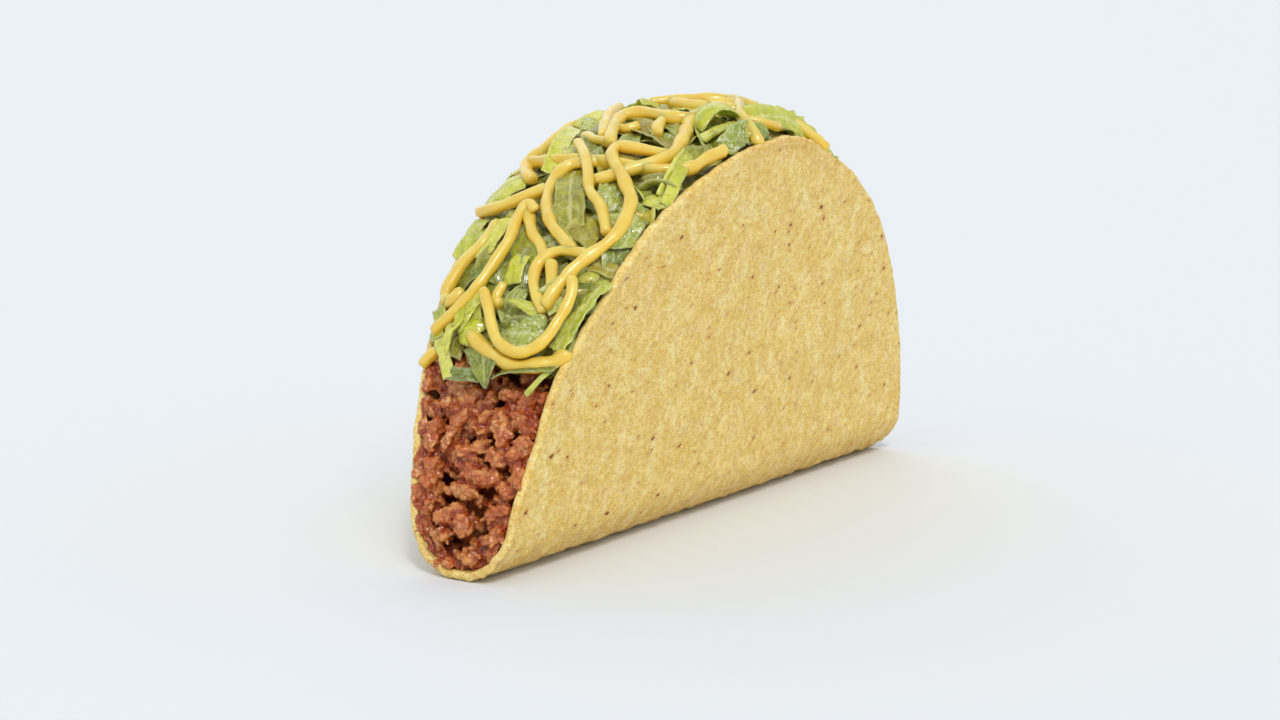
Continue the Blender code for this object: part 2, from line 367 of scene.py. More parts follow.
def make_shell_material():
    material, tree, surface = new_material("corn_shell")
    flat = attribute(tree, "flat")
    skin = attribute(tree, "skin", "Fac")
    straw = patches(tree, scaled(tree, flat, (1.05, 0.92, 1.0)), 1.9 * MM, 0.5, 0.17)
    colour = blended(tree, straw, srgb(244, 218, 131), srgb(224, 189, 88))
    for stretch, size, level, softness, strength, tint in (
        ((1.25, 0.85, 1.0), 3.4 * MM, 0.55, 0.09, 0.62, (248, 231, 170)),  # cream blisters
        ((1.2, 0.8, 1.0), 7 * MM, 0.52, 0.10, 0.48, (226, 180, 74)),  # golden patches
        ((1.1, 0.95, 1.0), 3.8 * MM, 0.59, 0.08, 0.42, (212, 162, 96)),  # browner ones
    ):
        mask = patches(tree, scaled(tree, flat, stretch), size, level, softness)
        colour = layered(tree, colour, (mask, strength, tint))
    grain = cloud(tree, flat, 2700.0)
    meal = cloud(tree, flat, 1150.0, 3.0, 0.7)
    colour = layered(
        tree, colour,
        (attribute(tree, "toasted", "Fac"), 1.0, (206, 152, 70)),
        # The broken edge, off the two skins, is paler: partly its own colour, partly a painted highlight where
        # it catches the light.
        (maths(tree, "SUBTRACT", 1.0, skin), 0.4, (240, 210, 124)),
        (remap(tree, meal, 0.52, 0.74), 0.75, (248, 232, 176)),
        (remap(tree, meal, 0.48, 0.26), 0.75, (186, 142, 68)),
        (remap(tree, grain, 0.52, 0.74), 0.6, (248, 232, 176)),
        (remap(tree, grain, 0.48, 0.26), 0.6, (186, 142, 68)),
    )
    sockets = {"Vector": flat, "Angle": math.radians(20)}
    slanted = add_node(tree, "ShaderNodeVectorRotate", sockets, rotation_type="Z_AXIS").outputs[0]
    slanted = scaled(tree, slanted, (0.62, 1.1, 1.0))
    for cell, share, smallest, largest, strength, seed in (
        (3.6 * MM, 0.34, 0.08 * MM, 0.22 * MM, 0.75, 0.0),
        (7.5 * MM, 0.50, 0.16 * MM, 0.40 * MM, 0.9, 7.0),
    ):
        fleck, halo = specks(tree, slanted, cell, share, smallest, largest, seed)
        fleck = times(tree, fleck, skin)
        colour = layered(tree, colour, (halo, 0.34, (204, 132, 62)), (fleck, strength, (118, 50, 12)))
    sauce = attribute(tree, "sauce", "Fac")
    smear = times(tree, sauce, patches(tree, flat, 2.5 * MM, 0.42, 0.10))
    colour = blended(tree, smear, colour, blended(tree, sauce, srgb(232, 168, 62), srgb(160, 54, 16)))
    tree.links.new(remap(tree, smear, 0.0, 1.0, 0.66, 0.25), surface["Roughness"])
    set_finish(tree, surface, colour, plus(tree, meal, times(tree, grain, 0.4)), 0.32 * MM, 0.7, {
        "Specular IOR Level": 0.3,
        "Subsurface Weight": 0.1,
        "Subsurface Radius": (1.2 * MM, 0.8 * MM, 0.4 * MM),
    })
    return material


def toasting(flat, from_rim):
    """The shell is toasted darker low on its walls, where it hung on the bar, and at the top of its rim."""
    low = hump(np.abs(flat[:, 1]) - 7.5 * MM, 4.5 * MM) * (0.6 + 0.6 * unevenness(flat, 3 * MM))
    top = np.exp(-((from_rim / (1.8 * MM)) ** 2) - (flat[:, 0] / (20 * MM)) ** 2)
    return np.clip(0.55 * low + 0.5 * top, 0, 1)


def sauce_stain(points, depth, from_rim):
    """Sauce from the meat on the inner skin, up to the meat's top and short of the rim and of the ends."""
    x, _, z = points.T
    stain = np.clip((depth - 0.9) / 0.1, 0, 1) * np.clip((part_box("beef")[1].z + 2 * MM - z) / (4 * MM), 0, 1)
    clean_rim = np.interp(z, (6 * MM, 14 * MM), (1.2 * MM, 4.5 * MM))
    stain *= np.clip((from_rim - 0.3 * MM) / clean_rim, 0, 1)
    return stain * np.clip((HALF_LENGTH - 1.8 * MM - np.abs(x)) / (1.5 * MM), 0, 1)


shell_points, shell_faces, shell_flat, shell_depth = make_shell_mesh()
below_rim = HALF_GIRTH * (1 - np.hypot(shell_flat[:, 0] / HALF_LENGTH, shell_flat[:, 1] / HALF_GIRTH))
shell = add_piece("corn_shell", shell_points, shell_faces, make_shell_material(), {
    "flat": shell_flat,
    "toasted": toasting(shell_flat, below_rim),
    "sauce": sauce_stain(shell_points, shell_depth, below_rim),
    "skin": np.isin(shell_depth, (0, 1)),
})
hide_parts("shell")

# ---- Beef ----------------------------------------------------------------------------------------
# Ground beef, browned in a red-brown sauce. Fine grains stick together in knobbly clumps, with gaps between
# them that are darkened with painted shade, partly sauce. It fills the fold from end to end, and a core of
# meat, painted dark as deep shade and sauce, lies behind the clumps.
FUSE = 0.34 * MM  # grains closer than this have stuck together
# Each clump that shows at the -X end, as the (around, share) places that it runs through, its radius and how
# far it stands out, in mm. Many of the places were computed, and the rest were changed one by one.
CLUMPS = (
    (((30, 0.8), (28, 0.7)), 1.7, 0.2), (((29, 0.5), (28, 0.2), (26, 0.45)), 2.4, 0.9),
    (((26, 0.8),), 2.1, 0.2), (((24, 0.7), (20.5, 0.85)), 1.7, 0.7),
    (((26, 0.25), (24, 0.35), (21, 0.5)), 1.7, 1.1), (((28, -0.1), (26.5, 0.1)), 1.9, 0.2),
    (((26, -0.1), (24, 0.1)), 1.6, 0.2), (((26, -0.3), (23, -0.5)), 2, 0.8),
    (((29, -0.3), (29, -0.55)), 1.8, 0.2), (((29, -0.65), (26, -0.65), (25, -0.9)), 2.1, 0.4),
    (((23, -0.95), (21, -0.75)), 2.1, 0.9), (((22, -0.15), (21, 0.1), (20, 0.3)), 1.7, 0.5),
    (((21, -0.35), (20, -0.55)), 2, 0.9), (((19, 0.8), (15.5, 0.8)), 2.5, 0.4),
    (((16, 0.2), (16, -0.1)), 2.1, 1), (((18, 0), (18, -0.5)), 2.1, 1),
    (((20, -0.8), (17, -1)), 1.8, 0.2), (((17, -0.7), (16, -0.9)), 1.6, 0.4),
    (((12, 0.45), (13, 0.1)), 2, 1.2), (((12.5, 0), (11, -0.1)), 1.8, 1.5),
    (((10, 0.35),), 2.1, 1.2), (((13, -0.5), (14, -0.8)), 1.9, 0),
    (((12, -0.9), (10, -0.7)), 2.2, 0.5), (((6.5, 0), (6, -0.5)), 2, 0.8),
    (((14, 0.8), (12, 0.9)), 1.6, 0.2), (((10, 0.7), (6.5, 0.7)), 1.3, 0),
    (((8, -0.8), (7, -0.9)), 1.3, 0.2), (((15, 0.98), (12, 0.98)), 1.2, -0.1),
    (((11, 0.98), (8, 0.96)), 1.1, 0), (((7, 0.95), (4.5, 0.85)), 1, 0),
    (((22, 0.98), (18, 0.98)), 1.2, -0.1), (((4, 0.5), (3.5, -0.1)), 1, -0.4),
    (((4, -0.4), (5, -0.85)), 1, -0.3), (((25, 0.98), (22.5, 1)), 1, 0.4),
    (((19.5, 1), (17, 1.02)), 1, 0.6), (((33, 0.9), (31, 0.75)), 1.7, 0.6),
    (((15.5, 1.03), (13, 1.03)), 1, 0.7), (((11.5, 1.03), (9.5, 1.02)), 0.95, 0.6),
    (((7.5, 1), (6, 0.96)), 0.9, 0.3), (((32, 0.5), (31, 0.3)), 1.6, 0.3),
    (((31, 0.98), (28, 0.98)), 1.2, 0.5), (((27, 0.97), (25, 0.98)), 1.2, 0.5),
)
KNOBS = 10  # at each step along a clump that shows


def joined(parts):
    """Several parts, each (points, faces, {name: a number or vector for each point}), as one."""
    faces, start = [], 0
    for points, part_faces, _ in parts:
        faces += [tuple(start + k for k in face) for face in part_faces]
        start += len(points)
    marks = {name: np.concatenate([part[2][name] for part in parts]) for name in parts[0][2]}
    return np.concatenate([part[0] for part in parts]), faces, marks


def packed_solid(name):
    """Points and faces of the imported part's own solid."""
    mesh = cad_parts[name].data
    return np.array([vert.co for vert in mesh.vertices]), [tuple(face.vertices) for face in mesh.polygons]


def mouth(around, share, lift):
    """A point on the open mouth. around goes from 0 degrees at the -X tip to 180 at the other, share from -1
    at the -Y wall to 1 at the other wall, and lift is how far the point stands out of the mouth."""
    turn = math.pi - math.radians(around)
    x, girth = rim(turn)
    y, z = fold(girth, WALL)
    x0, girth0 = rim(turn - 0.01)
    x1, girth1 = rim(turn + 0.01)
    run, rise = x1 - x0, fold(girth1)[1] - fold(girth0)[1]
    length = math.hypot(run, rise)
    return Vector((x + lift * rise / length, share * y, z - lift * run / length))


def keep_inside(points, gap):
    """The same points, with those below the rim held this far off the walls."""
    points = np.array(points, float)
    height = points[:, 2]
    rim_girth = HALF_GIRTH * np.sqrt(np.clip(1 - (points[:, 0] / HALF_LENGTH) ** 2, 0, 1))
    below = np.clip((fold(rim_girth, WALL)[1] + 0.5 * MM - height) / (2 * MM), 0, 1)
    foot = fold(BASE_HALF_WIDTH + ARC, WALL)
    radius, centre = FOLD_RADIUS - WALL, FOLD_RADIUS * math.cos(FLAT_TURN)
    in_bend = np.sqrt(np.clip(radius**2 - (centre - height) ** 2, (1 * MM) ** 2, None))
    most = np.where(height < foot[1], in_bend, foot[0] + (height - foot[1]) * math.tan(LEAN)) - gap
    held = np.clip(points[:, 1], -most, most)
    points[:, 1] += below * (held - points[:, 1])
    return points


def grain_shape():
    """A ball: its points and its faces."""
    bm = bmesh.new()
    bmesh.ops.create_icosphere(bm, subdivisions=2, radius=1.0)
    points = np.array([vert.co for vert in bm.verts])
    faces = [tuple(vert.index for vert in face.verts) for face in bm.faces]
    bm.free()
    return points, faces


GRAIN_POINTS, GRAIN_FACES = grain_shape()


def grain_mesh(rng, centres, radii):
    """The grains as one loose mesh: lopsided balls, each turned its own way."""
    grains = []
    for centre, radius in zip(centres, radii):
        turned = np.array(Matrix.Rotation(rng.uniform(0, 6.3), 3, Vector(rng.normal(size=3)).normalized()))
        lumpy = GRAIN_POINTS * (1 + 0.25 * unevenness(GRAIN_POINTS, 0.9, float(rng.uniform(0, 99))))[:, None]
        shape = (lumpy * rng.uniform(0.75, 1.25, 3)) @ turned.T
        grains.append((np.array(centre) + radius * shape, GRAIN_FACES, {}))
    points, faces, _ = joined(grains)
    mesh = bpy.data.meshes.new("grains")
    mesh.from_pydata(points.tolist(), [], faces)
    return mesh


def end_grains(rng, clumps):
    """Centres and radii of the lumps at the -X end, and the clump that each belongs to: a solid middle for
    each clump, with knobs all over it."""
    centres, radii, owners = [], [], []

    def add_clump(places, size, knobs):
        reach = sum((b - a).length for a, b in zip(places, places[1:]))
        steps = max(int(reach / (0.55 * size)) + 1, 1)
        for along in np.linspace(0, len(places) - 1, steps):
            first = min(int(along), max(len(places) - 2, 0))
            middle = places[first].lerp(places[min(first + 1, len(places) - 1)], along - first)
            centres.append(middle + Vector(rng.normal(size=3)) * 0.12 * size)
            radii.append(0.76 * size * rng.uniform(0.85, 1.1))
            for _ in range(knobs):
                away = Vector(rng.normal(size=3)).normalized()
                knob = rng.uniform(0.22, 0.4) * size
                centres.append(middle + away * (size - 0.75 * knob) * rng.uniform(0.8, 1.05))
                radii.append(knob)
        owners.extend([max(owners, default=-1) + 1] * (len(centres) - len(owners)))

    def set_back(around, share):
        """How far the meat stands back from the mouth. At the tip the fold's clean floor shows."""
        return (2.4 - 1.2 * abs(share)) * math.exp(-((around / 7) ** 2))

    for path, size, out in clumps:
        lift = out - 0.72 * size
        add_clump([mouth(*place, (lift - set_back(*place)) * MM) for place in path], size * MM, KNOBS)
    for nearest, farthest, count, knobs in ((0.5, 1.3, 80, 6), (1.8, 2.6, 70, 1)):
        for _ in range(count):
            size = rng.uniform(1.0, 1.9)
            around, share = rng.uniform(3, 37), rng.uniform(-1, 1)
            lift = -rng.uniform(nearest, farthest) - 0.8 * size - set_back(around, share)
            place = mouth(around, share, lift * MM)
            add_clump([place, place + Vector(rng.normal(size=3)) * 1.2 * MM], size * MM, knobs)
    return centres, radii, owners


def seams(points, centres, radii, owners):
    """How far each point is from the seam between its own clump and the next, and its clump's number."""
    tree = kdtree.KDTree(len(centres))
    for k, centre in enumerate(centres):
        tree.insert(centre, k)
    tree.balance()
    gaps, clumps = [], []
    for point in points.tolist():
        nearest = {}
        for _, k, distance in tree.find_n(point, 14):
            nearest[owners[k]] = min(distance - radii[k], nearest.get(owners[k], 1.0))
        ranked = sorted((reach, owner) for owner, reach in nearest.items())
        clumps.append(ranked[0][1])
        gaps.append(ranked[1][0] - ranked[0][0] if len(ranked) > 1 else 1.0)
    return np.array(gaps), np.array(clumps)


def nodules(points, size, seed):
    """Fine grains of this size: how high each point stands on its grain, 0 to 1, and its grain's tone."""
    heights, tones = [], []
    for place in (points / size + seed).tolist():
        distances, middles = noise.voronoi(place)
        heights.append(min((distances[1] - distances[0]) / 0.45, 1.0))
        tones.append(noise.cell(middles[0] * 5.3))
    return np.array(heights) ** 0.6, np.array(tones)


def make_clumps(rng, centres, radii, owners):
    """Fuses the grains, then roughens them with finer grains and deepens the seams between clumps."""
    radii = np.array(radii)
    centres = keep_inside(centres, 0.8 * radii)
    floor = fold(0.0, WALL)[1]
    centres[:, 2] = np.maximum(centres[:, 2], floor + 0.8 * radii)
    loose = put_in_scene("grains", grain_mesh(rng, centres, radii))
    fuse = loose.modifiers.new("Fuse", "REMESH")
    fuse.mode = "VOXEL"
    fuse.voxel_size = FUSE
    ease = loose.modifiers.new("Ease", "SMOOTH")
    ease.iterations = 2
    graph = bpy.context.evaluated_depsgraph_get()
    fused = bpy.data.meshes.new_from_object(loose.evaluated_get(graph))
    bpy.data.objects.remove(loose)
    points, normals = (np.empty(3 * len(fused.vertices), np.float32) for _ in range(2))
    fused.vertices.foreach_get("co", points)
    fused.vertex_normals.foreach_get("vector", normals)
    points = points.reshape(-1, 3).astype(float)
    warp = together(*(unevenness(points, 1.3 * MM, seed) for seed in (2.0, 12.0, 22.0)))
    warped = points + 0.5 * MM * warp
    coarse, tone = nodules(warped, 1.7 * MM, 4.0)
    fine, fine_tone = nodules(warped, 0.85 * MM, 9.0)
    gaps, clumps = seams(points, centres, radii, owners)
    seam = np.clip(1 - gaps / (0.9 * MM), 0, 1)
    rough = 0.50 * (coarse - 0.6) + 0.24 * (fine - 0.6) - 0.65 * seam**1.5
    points += normals.reshape(-1, 3) * (MM * rough)[:, None]
    faces = [tuple(face.vertices) for face in fused.polygons]
    bpy.data.meshes.remove(fused)
    # Painted shade: how dark each point is painted in its crease, deep between the fine grains and along the
    # seams between clumps.
    crease_shading = np.clip(1 - 1.6 * coarse, 0, 1) + 0.4 * np.clip(1 - 1.6 * fine, 0, 1) + 1.2 * seam
    clump_tone = rng.uniform(0, 1, len(centres))[clumps]
    tone = 0.45 * clump_tone + 0.35 * tone + 0.2 * fine_tone
    return points, faces, {"tone": tone, "crease": np.clip(crease_shading, 0, 1.6)}


def make_beef_material():
    material, tree, surface = new_material("browned_beef")
    place = add_node(tree, "ShaderNodeTexCoord", {}).outputs["Object"]
    browned = remap(tree, attribute(tree, "tone", "Fac"), 0.1, 0.9)
    colour = blended(tree, browned, srgb(174, 86, 30), srgb(236, 168, 90))
    for size, level, softness, strength, tint in (
        (4.0 * MM, 0.50, 0.14, 0.45, (232, 172, 94)),  # tanned
        (3.2 * MM, 0.50, 0.12, 0.5, (196, 80, 18)),  # sauce
        (0.9 * MM, 0.60, 0.08, 0.5, (248, 208, 142)),  # fat
    ):
        colour = layered(tree, colour, (patches(tree, place, size, level, softness), strength, tint))
    gap_sauce_and_shade = attribute(tree, "gap_sauce_and_shade", "Fac")
    crease = attribute(tree, "crease", "Fac")
    # Painted shade: creases and seams are painted dark red, and the meat deep in the gaps dark red-brown,
    # partly sauce that pools there.
    colour = layered(tree, colour, (crease, 0.62, (146, 46, 12)), (gap_sauce_and_shade, 0.75, (136, 48, 22)))
    tree.links.new(remap(tree, gap_sauce_and_shade, 0.0, 1.0, 0.75, 0.0), surface["Coat Weight"])
    set_finish(tree, surface, colour, cloud(tree, place, 1900.0, 3.0), 0.30 * MM, 0.8, {
        "Roughness": 0.42,
        "Specular IOR Level": 0.2,
        "Coat Roughness": 0.09,
        "Subsurface Weight": 0.15,
        "Subsurface Radius": (1.2 * MM, 0.5 * MM, 0.25 * MM),
    })
    return material


def sunkenness(points):
    """0 on the meat's face, which is a rounded one, to 1 deep in its gaps."""
    x, _, z = points.T
    radius = np.hypot(x / HALF_LENGTH, (z + 3.4 * MM) / (HALF_GIRTH + 1 * MM))
    return np.clip(((0.985 - radius) * HALF_GIRTH - 2.2 * MM) / (4.0 * MM), 0, 1)


beef_material = make_beef_material()
rng = np.random.default_rng(5)
near = make_clumps(rng, *end_grains(rng, CLUMPS))
far_clumps = []
for around in range(3, 33, 3):
    for share in (-0.7, -0.25, 0.2, 0.65):
        start = (around + rng.uniform(-1, 1), share + rng.uniform(-0.12, 0.12))
        end = (start[0] + rng.uniform(-3, 3), start[1] + rng.uniform(-0.15, 0.15))
        if rng.uniform() < 0.8:
            far_clumps.append(((start, end), rng.uniform(1.3, 2.1), rng.uniform(0.0, 0.8)))
far = make_clumps(rng, *end_grains(rng, far_clumps))
beef_points, beef_faces, beef_marks = joined([near, (far[0] * (-1, -1, 1), *far[1:])])
# How deep in its gap each point lies, which sets its painted shade, partly pooled sauce, and thins its coat.
beef_marks["gap_sauce_and_shade"] = sunkenness(beef_points)
beef_crumbs = add_piece("beef_clumps", beef_points, beef_faces, beef_material, beef_marks)

BEEF_CORE_SIZE = (0.935, 1.0, 1.0)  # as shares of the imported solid's
core_points, core_faces = packed_solid("beef")
# The core is painted almost as dark as the deepest gaps: painted shade, partly sauce.
beef_core = add_piece("beef_core", core_points * BEEF_CORE_SIZE, core_faces, beef_material, {
    "gap_sauce_and_shade": np.full(len(core_points), 0.9),
    "tone": np.zeros(len(core_points)),
    "crease": np.zeros(len(core_points)),
})
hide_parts("beef")

# ---- Lettuce -------------------------------------------------------------------------------------
# Crisp head lettuce, cut into short ribbons. They lie every way over each other on top of the meat: thin,
# curled and half see-through, with pale ribs and veins. A core of packed lettuce, painted dark as shade, lies
# below them.
LEAF_THICKNESS = 0.32 * MM
TORN_DEPTH = 0.35 * MM
# How wide the pale band along a piece's cut edges is, which is partly a painted highlight.
PALE_EDGE = 0.4  # mm
FINE, COARSE = (0.42, 40, 15), (0.8, 18, 9)  # mm between a piece's points, and the most rows and columns
CROWN_EDGE, CROWN_MIDDLE = 2.3 * MM, 2.6 * MM  # the heap's rise over the mouth, and the extra at its middle
MM_PER_DEGREE, MM_PER_SHARE = 1.27, 16  # about how far a degree round the mouth and half its width come to


def crown(around, share, lift=0.0):
    """A point over the heap's top. lift is measured from the lettuce's own surface."""
    height = CROWN_EDGE + CROWN_MIDDLE * max(math.sin(math.radians(around)), 0.0) ** 6
    return mouth(around, share, height * (1 - min(abs(share), 1.0) ** 2.5) + lift)


def crown_normal(around, share):
    along = crown(around + 1, share) - crown(around - 1, share)
    across = crown(around, share + 0.05) - crown(around, share - 0.05)
    normal = across.cross(along).normalized()
    return normal if normal.z > 0 else -normal


def leaf(rng, start, end, width, bow, roll, ruffle, tone, crinkle, kind, curl=0.0, tip=0.0, twist=0.0,
         cut=(0.0, 0.0), fine=True):
    """One piece. start and end are (around, share, lift in mm). width, bow, ruffle and crinkle are mm, roll
    and twist degrees. tone goes from 0, dark, to 1, and kind from -1, a brown-tinged see-through piece, to
    1, a grey-green one flecked with painted glints. curl bends a piece across, tip narrows its far end, and
    cut slants its ends."""
    start, end = np.array(start, float), np.array(end, float)
    rough_length = (crown(*start[:2]) - crown(*end[:2])).length / MM
    spacing, most_rows, most_columns = FINE if fine else COARSE
    rows = int(min(max(rough_length / spacing, 7), most_rows))
    columns = int(min(max(width / spacing, 4), most_columns))
    u = np.linspace(0, 1, rows)[:, None]  # along the piece
    v = np.linspace(-1, 1, columns)  # across it
    seed = float(rng.uniform(0, 99))
    spine, normals = [], []
    for step in u[:, 0]:
        around, share, lift = start + (end - start) * step
        normal = crown_normal(around, min(max(share, -0.98), 0.98))
        spine.append(crown(around, share, lift * MM) + normal * (4 * bow * MM * step * (1 - step)))
        normals.append(normal)
    spine = np.array(spine)
    tangents = unit(np.gradient(spine, axis=0))
    side = unit(np.cross(tangents, np.array(normals)))
    up = np.cross(side, tangents)
    angle = np.radians(roll + twist * (u - 0.5))
    side, up = side * np.cos(angle) + up * np.sin(angle), up * np.cos(angle) - side * np.sin(angle)
    half = width / 2 * MM * (1 - tip * u**1.6)
    along = together(u * rough_length / 2.5, seed, 0)
    left, right = 1 + 0.24 * unevenness(along, 1.0), 1 + 0.24 * unevenness(along, 1.0, 5.0)
    reach = half * np.where(v < 0, left, right) * v
    slant = cut[0] * (1 - u) + cut[1] * u
    ends = together(v * width / 2.2, seed, 0)
    torn = (1 - u) * unevenness(ends, 1.0, 3.0) + u * unevenness(ends, 1.0, 8.0)
    grid = spine[:, None] + side[:, None] * reach[..., None]
    grid += tangents[:, None] * (slant * reach + TORN_DEPTH * torn)[..., None]
    grid += up[:, None] * (half * curl * (v**2 - 0.35))[..., None]
    waves = together(u * rough_length / 2.6, v * width / 3.4, seed)
    crimp = unevenness(waves, 1.0) * (0.45 + 0.55 * v**2) + 0.3 * unevenness(waves, 0.45)
    grid += up[:, None] * (ruffle * MM * crimp)[..., None]
    if fine:
        creases = 0.5 - 2.4 * np.abs(unevenness(waves, 0.5, 6.0)) + 0.35 * unevenness(waves, 0.22)
        grid += up[:, None] * (crinkle * MM * creases)[..., None]
    facing = np.cross(np.gradient(grid, axis=0), np.gradient(grid, axis=1))
    facing /= np.linalg.norm(facing, axis=2)[..., None] + 1e-12
    half_thick = LEAF_THICKNESS / 2 * (1 - 0.45 * v**2)[None, :, None]
    index = np.arange(rows * columns).reshape(rows, columns)
    loop, back = outline(index), index.size
    faces = skin_faces(index)
    faces += [(loop[k], loop[k - 1], loop[k - 1] + back, loop[k] + back) for k in range(len(loop))]
    place = together(u * rough_length, v * width / 2, seed)
    from_edge = np.minimum((1 - np.abs(v)) * width / 2, (1 - np.abs(2 * u - 1)) * rough_length / 2)
    skins = np.concatenate([grid + facing * half_thick, grid - facing * half_thick])
    return skins.reshape(-1, 3), faces, {
        "leaf": np.concatenate([place, place]).reshape(-1, 3),
        "tone": np.full(2 * back, tone),
        "edge": np.tile(np.clip(1 - from_edge.ravel() / PALE_EDGE, 0, 1), 2),
        "kind": np.full(2 * back, float(kind)),
    }
